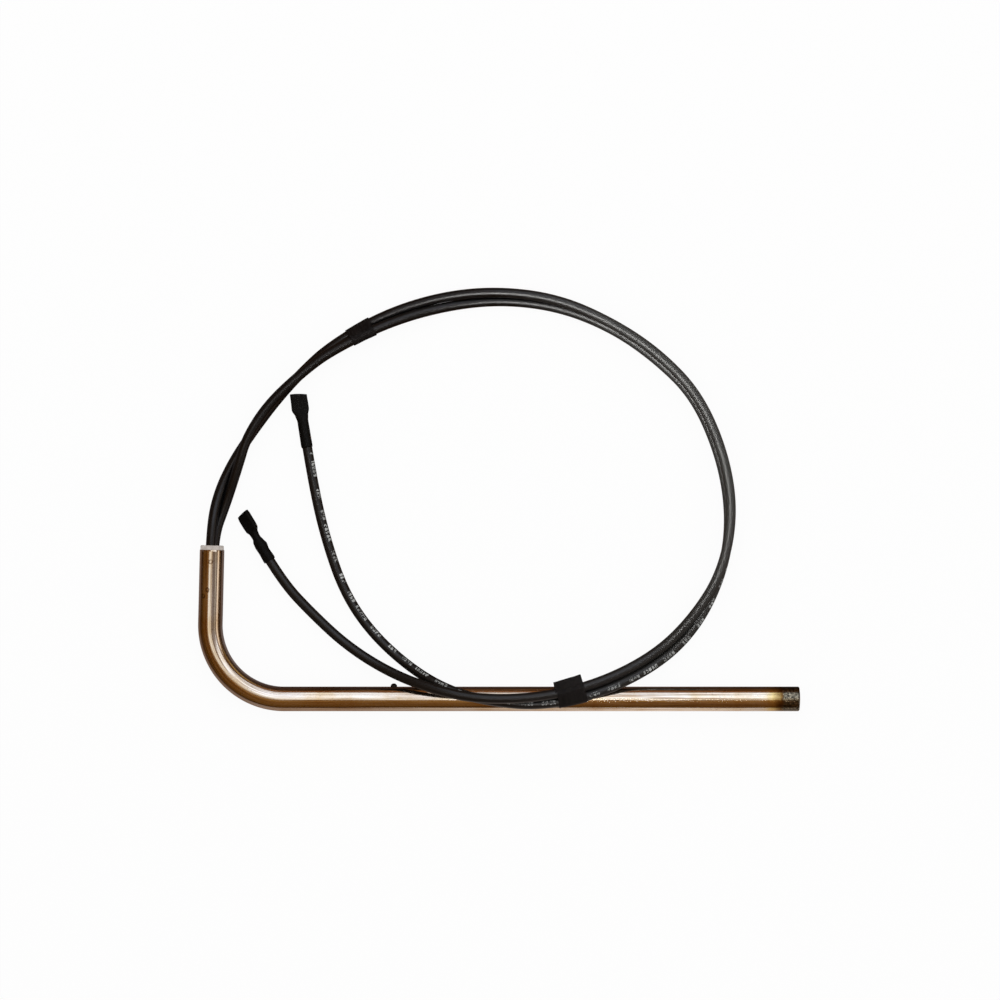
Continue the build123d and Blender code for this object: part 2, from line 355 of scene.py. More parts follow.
class FloorFade(Enum):
    """Axis, start and end, in millimetres, of each fade of the painted light and shade on the floor as metal
    mirrors it.
    """

    GLOW = ("X", -150.0, 120.0)
    NORTH_OF_LEG = ("Y", -27.5, -23.5)
    EAST_OF_BEND = ("X", -115.0, -111.0)
    LOOP = ("Y", 34.0, 42.0)
    SHADE = ("Y", -27.5, 30.0)
    ARM = ("X", -88.0, -104.0)


@dataclass(frozen=True)
class Studio:
    """A camera straight above, a pale floor and soft light from above and one side.

    The lamps light matt pieces. Metal mirrors a painted reflection of the floor, with painted light and
    painted shade in it, and a dim warm room with soft boxes in it.
    """

    view_width: float = 406.5 * MM
    view_centre: tuple[float, float] = (0.4 * MM, 52.1 * MM)
    camera_height: float = 2.4
    object_height: float = 5 * MM
    sensor: float = 36.0
    floor_half: float = 6.0
    floor_gap: float = 0.05 * MM
    white_to_camera: float = 0.94
    paper: str = "#F4F3F1"
    # Painted light on the floor as metal mirrors it, brighter towards +X
    floor_glow: Stops = (
        (0.0, "#3F2710"),
        (0.05, "#6C554B"),
        (0.09, "#7E6C65"),
        (0.3, "#A28979"),
        (0.44, "#B5A295"),
        (0.8, "#E7D7CE"),
        (1.0, "#BCADA4"),
    )
    # Painted shade on the floor as metal mirrors it, inside the bend and the loop
    floor_shade: Stops = ((0.0, "#50413A"), (0.28, "#43302A"), (0.38, "#2A180A"), (0.65, "#5A3A20"))
    # Painted shade, lighter next to the short leg
    shaded_near_arm: str = "#746867"
    room: Stops = ((0.0, "#432807"), (0.3, "#59380C"), (0.8, "#6E4618"), (1.0, "#8F652C"))
    room_light: str = "#D6D6D8"
    horizon: float = 0.03
    sheen_spread: float = math.radians(38.0)
    boxes: tuple[SoftBox, ...] = (
        SoftBox("#FBF4EC", 1.05, (-0.42, 0.10), (-0.14, 0.16), 0.03),
        SoftBox("#EEF2FF", 1.6, (-0.12, 1.05), (0.16, 0.80), 0.04),
        SoftBox("#EEF2FF", 1.45, (-0.30, 1.05), (0.92, 1.9), 0.04),
        SoftBox("#7C5230", 1.0, (-2.0, 2.0), (2.1, 12.0), 0.03),
        SoftBox("#B89760", 1.0, (2.6, 9.0), (2.6, 9.0), 0.05),
        SoftBox("#7A6B64", 1.0, (0.16, 1.50), (-1.2, 0.10), 0.03),
        SoftBox("#C1B8AA", 1.0, (0.80, 1.0), (-1.2, 0.12), 0.02),
        SoftBox("#FFEBD8", 1.1, (1.7, 3.4), (-1.2, 0.90), 0.04),
    )

    def build_camera(self) -> None:
        """Look straight down with a long lens that takes in the photograph's frame."""
        data = bpy.data.cameras.new("photo_camera")
        data.sensor_width = self.sensor
        data.lens = self.sensor * (self.camera_height - self.object_height) / self.view_width
        data.clip_end = 50.0
        camera = bpy.data.objects.new("photo_camera", data)
        camera.location = (*self.view_centre, self.camera_height)
        bpy.context.scene.collection.objects.link(camera)
        bpy.context.scene.camera = camera

    def add_mirrored_floor(self, tree: bpy.types.NodeTree) -> Feed:
        """Add the floor's colour as metal mirrors it.

        It is a painted reflection: painted light on the outer side of the bend and towards +X, and painted
        shade inside the bend and the loop, where the leads would shade it.

        Args:
            tree: Node tree of the floor.

        Returns:
            The node and output of the colour.
        """
        place = add_node(tree, "TexCoord")
        parts = add_node(tree, "SeparateXYZ", links={0: (place, "Object")})
        fades = {}
        for fade in FloorFade:
            axis, low, high = fade.value
            reach = span(low * MM, high * MM)
            fades[fade] = add_node(tree, "MapRange", values=reach, links={0: (parts, axis)})
        glow = add_node(tree, "ValToRGB", links={0: fades[FloorFade.GLOW]}, stops=self.floor_glow)
        shade = add_node(tree, "ValToRGB", links={0: fades[FloorFade.SHADE]}, stops=self.floor_shade)
        # Where the painted shade lies: north of the long leg and east of the bend, and inside the loop
        corner = {0: fades[FloorFade.NORTH_OF_LEG], 1: fades[FloorFade.EAST_OF_BEND]}
        bend = add_node(tree, "Math", PRODUCT, links=corner)
        inside = add_node(tree, "Math", LARGER, links={0: bend, 1: fades[FloorFade.LOOP]})
        near_arm = {7: tone(self.shaded_near_arm)}
        shaded = add_node(tree, "Mix", BLEND, near_arm, {0: fades[FloorFade.ARM], 6: shade})
        return add_node(tree, "Mix", BLEND, links={0: inside, 6: glow, 7: (shaded, 2)}), 2

    def build_floor(self) -> None:
        """Lay a plain pale floor, white to the camera apart from a faint shadow."""
        clear_selection()
        bpy.ops.mesh.primitive_plane_add(size=2 * self.floor_half, location=(0, 0, -self.floor_gap))
        floor = bpy.context.object
        floor.name = "studio_floor"
        material, tree = blank_material("matt_white_paper_painted_reflection")
        paper = add_node(tree, "BsdfDiffuse", values={"Color": tone(self.paper)})
        white = add_node(tree, "Emission", values={"Color": tone(WHITE)})
        # The painted reflection of the floor, with its painted light and shade, glows for glossy rays only
        mirrored = add_node(tree, "Emission", links={"Color": self.add_mirrored_floor(tree)})
        path = add_node(tree, "LightPath")
        to_camera = add_node(tree, "Math", PRODUCT, {1: self.white_to_camera}, {0: (path, "Is Camera Ray")})
        seen = add_node(tree, "MixShader", links={0: to_camera, 1: paper, 2: white})
        either = add_node(tree, "MixShader", links={0: (path, "Is Glossy Ray"), 1: seen, 2: mirrored})
        add_node(tree, "OutputMaterial", links={0: either})
        dress(floor, material)

    def build_world(self) -> None:
        """Fill the room with even light; metal mirrors a dim warm room with soft boxes in it."""
        world = bpy.data.worlds.new("studio_room")
        bpy.context.scene.world = world
        world.use_nodes = True
        tree = world.node_tree
        tree.nodes.clear()
        place = add_node(tree, "TexCoord")
        parts = add_node(tree, "SeparateXYZ", links={0: (place, "Generated")})
        height = add_node(tree, "Math", LARGER, {1: self.horizon}, {0: (parts, "Z")})
        east = add_node(tree, "Math", QUOTIENT, links={0: (parts, "X"), 1: height})
        north = add_node(tree, "Math", QUOTIENT, links={0: (parts, "Y"), 1: height})
        colour: Feed = add_node(tree, "ValToRGB", links={0: (parts, "Z")}, stops=self.room)
        for box in self.boxes:
            across = band(tree, east, *box.east, box.soft)
            along = band(tree, north, *box.north, box.soft)
            mask = add_node(tree, "Math", PRODUCT, links={0: across, 1: along})
            light = tuple(c * box.radiance for c in tone(box.tint)[:3]) + (1.0,)
            colour = add_node(tree, "Mix", BLEND, {7: light}, {0: mask, 6: colour}), 2
        path = add_node(tree, "LightPath")
        even = {6: tone(self.room_light)}
        mirrored = add_node(tree, "Mix", BLEND, even, {0: (path, "Is Glossy Ray"), 7: colour})
        seen = add_node(tree, "Mix", BLEND, {7: tone(WHITE)}, {0: (path, "Is Camera Ray"), 6: (mirrored, 2)})
        background = add_node(tree, "Background", links={"Color": (seen, 2)})
        add_node(tree, "OutputWorld", links={0: background})

    def build_lamp(
        self, name: str, place: Point, size: tuple[float, float], radiance: float, target: Point = (0, 0, 0)
    ) -> bpy.types.Object:
        """Hang one soft box that faces the object.

        Args:
            name: Name of the lamp.
            place: Its middle, in metres.
            size: Its width and depth.
            radiance: How bright its face is, where 1 is white.
            target: The place it faces.

        Returns:
            The lamp, which lights matt surfaces and isn't mirrored.
        """
        data = bpy.data.lights.new(name, "AREA")
        data.shape = "RECTANGLE"
        data.size, data.size_y = size
        data.energy = radiance * math.pi * size[0] * size[1]
        lamp = bpy.data.objects.new(name, data)
        lamp.location = place
        lamp.rotation_euler = (Vector(place) - Vector(target)).to_track_quat("Z", "Y").to_euler()
        lamp.visible_camera = False
        lamp.visible_glossy = False
        bpy.context.scene.collection.objects.link(lamp)
        return lamp

    def build(self) -> None:
        """Set up the camera, the floor, the room and the lamps.

        The last lamp is narrow-beamed and only mirrored: it draws bright lines on the loop's far side.
        """
        bpy.context.scene.view_settings.view_transform = "Standard"
        self.build_camera()
        self.build_floor()
        self.build_world()
        self.build_lamp("overhead_soft_box", (0.0, 0.75, 1.0), (0.6, 1.5), 1.5)
        self.build_lamp("side_soft_box", (1.9, -0.5, 0.9), (1.2, 0.8), 1.2)
        sheen = self.build_lamp("loop_sheen_lamp", (0.0, 0.016, 0.30), (0.16, 0.16), 1.95, (0.085, 0.11, 0.0))
        sheen.data.spread = self.sheen_spread
        sheen.visible_glossy = True
        sheen.visible_diffuse = False
        LOG.info("studio ready")


# Routes of the leads


@dataclass
class Route:
    """A lead's line, read from a smooth spline that its control points pull into shape."""

    name: str
    control: list[Vector]
    step: float = 0.8 * MM
    points: list[Vector] = field(default_factory=list)
    reach: list[float] = field(default_factory=list)

    def __post_init__(self) -> None:
        """Read the spline and space its points evenly."""
        curve = bpy.data.curves.new(self.name + "_line", "CURVE")
        curve.dimensions = "3D"
        spline = curve.splines.new("NURBS")
        spline.points.add(len(self.control) - 1)
        for point, place in zip(spline.points, self.control):
            point.co = (*place, 1.0)
        spline.order_u = 3
        spline.use_endpoint_u = True
        curve.resolution_u = 24
        holder = bpy.data.objects.new(self.name + "_line", curve)
        bpy.context.scene.collection.objects.link(holder)
        bpy.context.view_layer.update()
        mesh = bpy.data.meshes.new_from_object(holder)
        dense = [vertex.co.copy() for vertex in mesh.vertices]
        bpy.data.objects.remove(holder)
        bpy.data.curves.remove(curve)
        bpy.data.meshes.remove(mesh)
        self.points, self.reach = self.space_out(dense)

    def space_out(self, dense: list[Vector]) -> tuple[list[Vector], list[float]]:
        """Space points evenly along a dense line.

        Args:
            dense: Points along the line, close together.

        Returns:
            Evenly spaced points, and how far along the line each one is.
        """
        along = [0.0]
        for before, after in zip(dense, dense[1:]):
            along.append(along[-1] + (after - before).length)
        count = max(2, round(along[-1] / self.step))
        points, reach, k = [], [], 0
        for i in range(count + 1):
            target = along[-1] * i / count
            while k < len(along) - 2 and along[k + 1] < target:
                k += 1
            gap = along[k + 1] - along[k]
            share = 0.0 if gap == 0 else (target - along[k]) / gap
            points.append(dense[k].lerp(dense[k + 1], share))
            reach.append(target)
        return points, reach

    @property
    def length(self) -> float:
        """Length of the line in metres."""
        return self.reach[-1]

    def heading(self, i: int) -> Vector:
        """Direction of travel at a point."""
        before = self.points[max(0, i - 1)]
        after = self.points[min(len(self.points) - 1, i + 1)]
        return (after - before).normalized()

    def frame_at(self, i: int) -> tuple[Vector, Vector, Vector]:
        """Left, up and ahead at a point, with up as near to the sky as the line allows."""
        ahead = self.heading(i)
        left = Vector((0, 0, 1)).cross(ahead).normalized()
        return left, ahead.cross(left), ahead

    def nearest(self, place: Vector) -> int:
        """Number of the point nearest to a place."""
        return min(range(len(self.points)), key=lambda i: (self.points[i] - place).length_squared)


# Finishes


@dataclass(frozen=True)
class HeatTintedStainless:
    """Drawn stainless tube, tinted straw and brown by heat, with fine marks along its length.

    The bright metal mirrors the room in bands. Its tip is dull with grey oxide behind a gold band, and
    dried drops left small dark rings on the short leg.
    """

    straw: str = "#ECE3D3"
    brown: str = "#DEC8A4"
    pale: str = "#F3EFE8"
    stain: str = "#6A4C30"
    streak_dark: str = "#AC967C"
    tip_grey: str = "#B2AA94"
    tip_dark: str = "#2E2B22"
    tip_brown: str = "#77592C"
    tip_straw: str = "#DDC68A"
    streak_mm: float = 0.7
    streak_length: float = 60.0
    streak_strength: float = 0.75
    cloud_mm: float = 16.0
    speck_mm: float = 0.8
    tuft_mm: float = 2.6
    tuft_reach_mm: float = 4.0
    scale_mm: float = 0.75
    tint_start_mm: float = 1.0
    tint_end_mm: float = 19.0
    scale_end: tuple[float, float] = (0.36, 0.43)
    dull_end: tuple[float, float] = (0.36, 0.48)
    tint_fade: tuple[float, float] = (0.72, 1.0)
    dull: float = 0.20
    bright: float = 0.12
    ring_mm: float = 0.95
    rings_mm: tuple[Point, ...] = ((1.3, 4.8, 270.2), (0.2, 5.0, 281.6), (2.9, 4.0, 267.6))

    def add_rings(self, tree: bpy.types.NodeTree, place: Feed, specks: Feed, mask: Feed) -> Feed:
        """Add the small dark rings that dried drops left on the short leg to a mask.

        Args:
            tree: Node tree of the material.
            place: The straightened place on the tube.
            specks: Fine noise that makes the rings uneven.
            mask: The mask that gets them.

        Returns:
            The node that is 1 on a ring and where the mask was.
        """
        size = self.ring_mm * MM
        for middle in self.rings_mm:
            centre = {1: tuple(c * MM for c in middle)}
            apart = add_node(tree, "VectorMath", {"operation": "DISTANCE"}, centre, {0: place})
            uneven = add_node(tree, "Math", SCALE_ADD, {1: 1.4 * MM}, {0: specks, 2: (apart, "Value")})
            ring = band(tree, uneven, 1.25 * size, 1.65 * size, 0.22 * size)
            mask = add_node(tree, "Math", LARGER, links={0: mask, 1: ring})
        return mask

    def add_from_tip(self, tree: bpy.types.NodeTree, place: Feed) -> Feed:
        """Add the share of the tinted stretch that lies between a place and the tip, made ragged.

        Args:
            tree: Node tree of the material.
            place: The straightened place on the tube.

        Returns:
            The node that is 0 at the tip and 1 where the tint ends.
        """
        parts = add_node(tree, "SeparateXYZ", links={0: place})
        tufts = add_node(tree, "TexNoise", values=grain(self.tuft_mm, 4.0, 0.65), links={0: place})
        reach = {1: self.tuft_reach_mm * MM}
        ragged = add_node(tree, "Math", SCALE_ADD, reach, {0: tufts, 2: (parts, "Z")})
        ends = span(self.tint_start_mm * MM, self.tint_end_mm * MM)
        return add_node(tree, "MapRange", values=ends, links={0: ragged})

    def make(self) -> bpy.types.Material:
        """Build the material.

        Returns:
            The finished material.
        """
        material, tree = blank_material("drawn_stainless_heat_tinted")
        place = add_node(tree, "Attribute", {"attribute_name": "tube_place"}), "Vector"
        thin = {"Scale": (1, 1, 1 / self.streak_length)}
        stretched = add_node(tree, "Mapping", values=thin, links={0: place})
        streaks = add_node(tree, "TexNoise", values=grain(self.streak_mm, 4.0, 0.6), links={0: stretched})
        clouds = add_node(tree, "TexNoise", values=grain(self.cloud_mm, 4.0, 0.6), links={0: place})
        specks = add_node(tree, "TexNoise", values=grain(self.speck_mm, 2.0, 0.7), links={0: place})
        scale = add_node(tree, "TexNoise", values=grain(self.scale_mm, 6.0, 0.8), links={0: place})

        tints = ((0.3, self.brown), (0.5, self.straw), (0.72, self.pale))
        darks = ((0.38, self.streak_dark), (0.52, WHITE))
        tint = add_node(tree, "ValToRGB", links={0: clouds}, stops=tints)
        lines = add_node(tree, "ValToRGB", links={0: streaks}, stops=darks)
        streaked = add_node(tree, "Mix", DARKEN_BY, {0: self.streak_strength}, {6: tint, 7: lines})
        speckle = add_node(tree, "ValToRGB", links={0: specks}, stops=((0.67, BLACK), (0.74, WHITE)))
        spots = self.add_rings(tree, place, specks, speckle)
        stained = add_node(tree, "Mix", BLEND, {7: tone(self.stain)}, {0: spots, 6: (streaked, 2)})

        from_tip = self.add_from_tip(tree, place)
        golds = ((0.0, self.tip_brown), (0.43, self.tip_brown), (0.64, self.tip_straw), (0.94, self.straw))
        gold = add_node(tree, "ValToRGB", links={0: from_tip}, stops=golds)
        greys = ((0.44, self.tip_dark), (0.64, self.tip_grey))
        flakes = add_node(tree, "ValToRGB", links={0: scale}, stops=greys)
        scaled = add_node(tree, "MapRange", values=span(*self.scale_end, 1.0, 0.0), links={0: from_tip})
        tip = add_node(tree, "Mix", BLEND, links={0: scaled, 6: gold, 7: flakes})
        near_tip = add_node(tree, "MapRange", values=span(*self.tint_fade, 1.0, 0.0), links={0: from_tip})
        colour = add_node(tree, "Mix", BLEND, links={0: near_tip, 6: (stained, 2), 7: (tip, 2)})

        polish = span(*self.dull_end, self.dull, self.bright)
        dulled = add_node(tree, "MapRange", values=polish, links={0: from_tip})
        rough = add_node(tree, "Math", SCALE_ADD, {1: 0.08}, {0: streaks, 2: dulled})
        pits = add_node(tree, "Math", SCALE_ADD, links={0: scale, 1: scaled, 2: streaks})
        bump = add_node(tree, "Bump", values={"Strength": 0.2, "Distance": 0.04 * MM}, links={"Height": pits})
        surface = {"Base Color": (colour, 2), "Roughness": rough, "Normal": bump}
        shader = add_node(tree, "BsdfPrincipled", values={"Metallic": 1.0}, links=surface)
        add_node(tree, "OutputMaterial", links={0: shader})
        return material


@dataclass(frozen=True)
class MottledSolid:
    """A plain matt or satin solid with soft mottling and a fine texture, such as silicone or ceramic."""

    name: str
    base: str
    shade: str
    mottle_mm: float
    grain_mm: float
    roughness: float
    metallic: float = 0.0
    specular: float = 0.5

    def make(self) -> bpy.types.Material:
        """Build the material.

        Returns:
            The finished material.
        """
        material, tree = blank_material(self.name)
        place = add_node(tree, "TexCoord"), "Object"
        mottle = add_node(tree, "TexNoise", values=grain(self.mottle_mm, 3.0), links={0: place})
        fine = add_node(tree, "TexNoise", values=grain(self.grain_mm, 4.0, 0.7), links={0: place})
        colour = add_node(tree, "ValToRGB", links={0: mottle}, stops=((0.3, self.shade), (0.65, self.base)))
        rough = add_node(tree, "Math", SCALE_ADD, {1: 0.2, 2: self.roughness - 0.1}, {0: fine})
        bump = add_node(tree, "Bump", values={"Strength": 0.2, "Distance": 0.05 * MM}, links={"Height": fine})
        fixed = {"Metallic": self.metallic, "Specular IOR Level": self.specular}
        surface = {"Base Color": colour, "Roughness": rough, "Normal": bump}
        shader = add_node(tree, "BsdfPrincipled", values=fixed, links=surface)
        add_node(tree, "OutputMaterial", links={0: shader})
        return material


@dataclass(frozen=True)
class ExtrudedPvc:
    """Black PVC insulation, extruded: a soft satin gloss, faint die lines and a worn ink line.

    The ink is a row of broken ticks that spells nothing. A painted sheen, a grey with a little more
    roughness, lightens the loop's far side. Its stops run over the first 600 mm of the lead.
    """

    name: str
    inked: bool
    base: str = "#060606"
    worn: str = "#0F0E0D"
    painted_sheen: str = "#353532"
    ink: str = "#C2C4C0"
    die_line_mm: float = 0.5
    die_line_stretch: float = 0.02
    wear_mm: float = 9.0
    stroke_mm: float = 0.33
    mark_mm: float = 1.5
    word_mm: float = 9.0
    ink_height_mm: float = 1.7
    ink_start: float = 0.33
    ink_end: float = 0.595
    painted_sheen_length: float = 0.6
    painted_sheen_along: Stops = (
        (0.30, "#000000"),
        (0.38, "#E7E7E7"),
        (0.46, "#FFFFFF"),
        (0.58, "#E7E7E7"),
        (0.66, "#959595"),
        (0.75, "#595959"),
    )

    def make(self) -> bpy.types.Material:
        """Build the material.

        Returns:
            The finished material.
        """
        material, tree = blank_material(self.name)
        skin = add_node(tree, "UVMap", {"uv_map": "skin"})
        parts = add_node(tree, "SeparateXYZ", links={0: skin})
        long = {"Scale": (1, self.die_line_stretch, 1)}
        stretched = add_node(tree, "Mapping", values=long, links={0: skin})
        lines = add_node(tree, "TexNoise", values=grain(self.die_line_mm, 3.0), links={0: stretched})
        wear = add_node(tree, "TexNoise", values=grain(self.wear_mm, 5.0, 0.7), links={0: skin})
        black = add_node(tree, "ValToRGB", links={0: wear}, stops=((0.4, self.base), (0.75, self.worn)))
        # Painted sheen: a grey that lightens the lead along the loop's far side, with more roughness there
        share = add_node(tree, "MapRange", values=span(0.0, self.painted_sheen_length), links={0: (parts, "Y")})
        painted_sheen_mask = add_node(tree, "ValToRGB", links={0: share}, stops=self.painted_sheen_along)
        colour = add_node(tree, "Mix", BLEND, {7: tone(self.painted_sheen)}, {0: painted_sheen_mask, 6: black})
        if self.inked:
            ink = self.add_ink(tree, parts, wear)
            colour = add_node(tree, "Mix", BLEND, {7: tone(self.ink)}, {0: ink, 6: (colour, 2)})
        worn = add_node(tree, "Math", SCALE_ADD, {1: 0.25, 2: 0.24}, {0: wear})
        rough = add_node(tree, "Math", SCALE_ADD, {1: 0.14}, {0: painted_sheen_mask, 2: worn})
        relief = {"Strength": 0.08, "Distance": 0.03 * MM}
        bump = add_node(tree, "Bump", values=relief, links={"Height": lines})
        surface = {"Base Color": (colour, 2), "Roughness": rough, "Normal": bump}
        shader = add_node(tree, "BsdfPrincipled", values={"IOR": 1.48}, links=surface)
        add_node(tree, "OutputMaterial", links={0: shader})
        return material

    def add_ink(self, tree: bpy.types.NodeTree, parts: bpy.types.Node, wear: bpy.types.Node) -> Feed:
        """Add the mask of the ink line.

        Args:
            tree: Node tree of the material.
            parts: Node whose X goes round the lead and whose Y goes along it, in metres.
            wear: Noise that rubs the ink off in places.

        Returns:
            The node that is 1 where there is ink.
        """
        along = parts, "Y"
        across = add_node(tree, "Math", {"operation": "ABSOLUTE"}, links={0: (parts, "X")})
        row = add_node(tree, "Math", BELOW, {1: self.ink_height_mm / 2 * MM}, {0: across})

        # A mark is a small block of cells, some of them inked, with a gap after it.
        marks = add_node(tree, "Math", QUOTIENT, {1: self.mark_mm * MM}, {0: along})
        in_mark = add_node(tree, "Math", {"operation": "FRACT"}, links={0: marks})
        gap = add_node(tree, "Math", BELOW, {1: 0.74}, {0: in_mark})
        floors = []
        for axis, size_mm in (("X", self.ink_height_mm / 3), ("Y", self.stroke_mm)):
            cells = add_node(tree, "Math", QUOTIENT, {1: size_mm * MM}, {0: (parts, axis)})
            floors.append(add_node(tree, "Math", {"operation": "FLOOR"}, links={0: cells}))
        cell = add_node(tree, "CombineXYZ", links={0: floors[0], 1: floors[1]})
        chance = add_node(tree, "TexWhiteNoise", {"noise_dimensions": "2D"}, links={0: cell})
        stroke = add_node(tree, "Math", BELOW, {1: 0.62}, {0: (chance, "Value")})

        # A word is a run of marks of a length that varies.
        words = add_node(tree, "Math", QUOTIENT, {1: self.word_mm * MM}, {0: along})
        number = add_node(tree, "Math", {"operation": "FLOOR"}, links={0: words})
        in_word = add_node(tree, "Math", {"operation": "FRACT"}, links={0: words})
        draw = add_node(tree, "TexWhiteNoise", {"noise_dimensions": "1D"}, links={"W": number})
        reach = add_node(tree, "Math", SCALE_ADD, {1: 0.45, 2: 0.4}, {0: (draw, "Value")})
        word = add_node(tree, "Math", BELOW, links={0: in_word, 1: reach})

        start = add_node(tree, "Math", {"operation": "GREATER_THAN"}, {1: self.ink_start}, {0: along})
        end = add_node(tree, "Math", BELOW, {1: self.ink_end}, {0: along})
        kept = add_node(tree, "MapRange", values=span(0.35, 0.55, 0.95, 0.45), links={0: wear})
        mask: Feed = row
        for other in (gap, stroke, word, start, end, kept):
            mask = add_node(tree, "Math", PRODUCT, links={0: mask, 1: other})
        return mask


@dataclass(frozen=True)
class CrepeTape:
    """Matt brown-black cotton tape: a close weave across it and a dusty, slightly pale surface."""

    base: str = "#080606"
    dust: str = "#1C1714"
    thread_mm: float = 0.45
    dust_mm: float = 2.5

    def make(self) -> bpy.types.Material:
        """Build the material.

        Returns:
            The finished material.
        """
        material, tree = blank_material("cotton_insulating_tape")
        cloth = add_node(tree, "UVMap", {"uv_map": "skin"})
        wave = {"Scale": 0.1 / (self.thread_mm * MM), "Distortion": 1.2, "Detail": 2.0}
        threads = {}
        for axis in "XY":
            kind = {"wave_type": "BANDS", "bands_direction": axis}
            threads[axis] = add_node(tree, "TexWave", kind, wave, {0: cloth}), "Fac"
        weave = add_node(tree, "Math", PRODUCT, links={0: threads["X"], 1: threads["Y"]})
        dust = add_node(tree, "TexNoise", values=grain(self.dust_mm, 5.0, 0.7), links={0: cloth})
        colour = add_node(tree, "ValToRGB", links={0: dust}, stops=((0.42, self.base), (0.75, self.dust)))
        relief = {"Strength": 0.5, "Distance": 0.06 * MM}
        bump = add_node(tree, "Bump", values=relief, links={"Height": weave})
        fixed = {"Roughness": 0.68, "Specular IOR Level": 0.25}
        surface = {"Base Color": colour, "Normal": bump}
        shader = add_node(tree, "BsdfPrincipled", values=fixed, links=surface)
        add_node(tree, "OutputMaterial", links={0: shader})
        return material


# The bent sheath and what closes it


@dataclass(frozen=True)
class Sheath:
    """The bent tube with its closing disc and weld pip."""

    outer: float = 5 * MM
    wall: float = 0.6 * MM
    rim_bevel: float = 0.18 * MM
    bend_radius: float = 30 * MM
    bend_degrees: float = 91.35
    long_leg: float = 208.7 * MM
    short_leg: float = 29.9 * MM
    tip_cap: float = 1.0 * MM
    tip_side: float = 0.65 * MM
    tip_corner: float = 0.55 * MM
    dome_steps: tuple[tuple[float, float], ...] = ((0.9 * MM, 0.36), (1.3 * MM, 0.36), (1.4 * MM, 0.28))
    pip_place: float = 44.6 * MM
    pip_radius: float = 1.4 * MM
    pip_sunk: float = 0.35 * MM
    pip_lump: float = 0.8 * MM
    pip_unevenness: float = 0.10
    around: int = 96
    bend_steps: int = 72
    leg_steps: int = 52
    arm_steps: int = 8
    tip_ring_share: float = 0.004
    mouth_ring_share: float = 0.03

    @cached_property
    def turn(self) -> float:
        """Turn of the bend in radians."""
        return math.radians(self.bend_degrees)

    @cached_property
    def bend_start(self) -> Vector:
        """Where the long leg meets the bend, from the CAD tube's box."""
        low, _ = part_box("sheath_tube")
        return Vector((low[0] + self.outer + self.bend_radius, low[1] + self.outer, low[2] + self.outer))

    @cached_property
    def tip(self) -> Vector:
        """Middle of the tube's far end."""
        return self.bend_start + Vector((self.long_leg, 0, 0))

    @cached_property
    def bend_centre(self) -> Vector:
        """Centre of the bend's arc."""
        return self.bend_start + Vector((0, self.bend_radius, 0))

    @cached_property
    def outward(self) -> Vector:
        """Direction in which the short leg runs to its mouth."""
        return Vector((-math.cos(self.turn), math.sin(self.turn), 0))

    @cached_property
    def across(self) -> Vector:
        """Direction away from the bend's centre along the short leg."""
        return Vector((-math.sin(self.turn), -math.cos(self.turn), 0))

    @cached_property
    def mouth(self) -> Vector:
        """Middle of the mouth."""
        return self.bend_centre + self.across * self.bend_radius + self.outward * self.short_leg

    def straighten(self, place: Vector) -> Point:
        """Coordinates of a place as if the tube were straight.

        Args:
            place: A place on or in the tube.

        Returns:
            Distance out from the bend's side, height, and distance from the tube's far end.
        """
        height = place.z - self.bend_start.z
        if place.x >= self.bend_start.x:
            return self.bend_start.y - place.y, height, self.bend_start.x + self.long_leg - place.x
        arm = place - self.bend_centre
        past = arm.dot(self.outward)
        if past > 0:
            return (
                arm.dot(self.across) - self.bend_radius,
                height,
                self.long_leg + self.bend_radius * self.turn + past,
            )
        reach = math.hypot(arm.x, arm.y)
        swept = math.atan2(-arm.x, -arm.y)
        return reach - self.bend_radius, height, self.long_leg + self.bend_radius * swept

    def mark_places(self, piece: bpy.types.Object) -> None:
        """Store the straightened place of every point, for the marks drawn along the tube."""
        attribute = piece.data.attributes.new("tube_place", "FLOAT_VECTOR", "POINT")
        for vertex in piece.data.vertices:
            attribute.data[vertex.index].vector = self.straighten(vertex.co)

    def on_mouth_rim(self, start: Vector, end: Vector) -> bool:
        """Whether an edge runs round the mouth, on its inner or outer rim."""
        arms = (start - self.mouth, end - self.mouth)
        level = all(abs(arm.dot(self.outward)) < 1e-5 for arm in arms)
        return level and abs(arms[0].length - arms[1].length) < 1e-5

    def build_tube(self) -> bpy.types.Object:
        """Extrude and spin a ring along the tube's line, then give it its wall.

        Returns:
            The open tube.
        """
        clear_selection()
        bpy.ops.mesh.primitive_circle_add(
            vertices=self.around, radius=self.outer, location=self.tip, rotation=(0, math.pi / 2, 0)
        )
        tube = bpy.context.object
        tube.name = "sheath_tube_drawn"
        settle(tube)
        bpy.ops.object.mode_set(mode="EDIT")
        bpy.ops.mesh.select_all(action="SELECT")
        leg_step = (1 - self.tip_ring_share) / self.leg_steps
        for step in (self.tip_ring_share, *[leg_step] * self.leg_steps):
            bpy.ops.mesh.extrude_region_move(TRANSFORM_OT_translate={"value": (-self.long_leg * step, 0, 0)})
        bpy.ops.mesh.spin(steps=self.bend_steps, angle=self.turn, center=self.bend_centre, axis=(0, 0, 1))
        arm_step = (1 - self.mouth_ring_share) / self.arm_steps
        for step in (*[arm_step] * self.arm_steps, self.mouth_ring_share):
            bpy.ops.mesh.extrude_region_move(
                TRANSFORM_OT_translate={"value": self.outward * (self.short_leg * step)}
            )
        close_normals(tube)
        apply_modifier(tube, "SOLIDIFY", thickness=self.wall, offset=-1.0, use_even_offset=True)
        edit_edges(tube, self.on_mouth_rim)
        bpy.ops.mesh.bevel(offset=self.rim_bevel, segments=2, affect="EDGES")
        end_edit()
        smooth(tube)
        self.mark_places(tube)
        return tube

    def on_disc_rim(self, place: Vector) -> bool:
        """Whether a place is on the sharp outer rim of the closing disc."""
        arm = place - self.tip
        return abs(arm.x - self.tip_side) < 1e-6 and arm.yz.length > 0.999 * self.outer

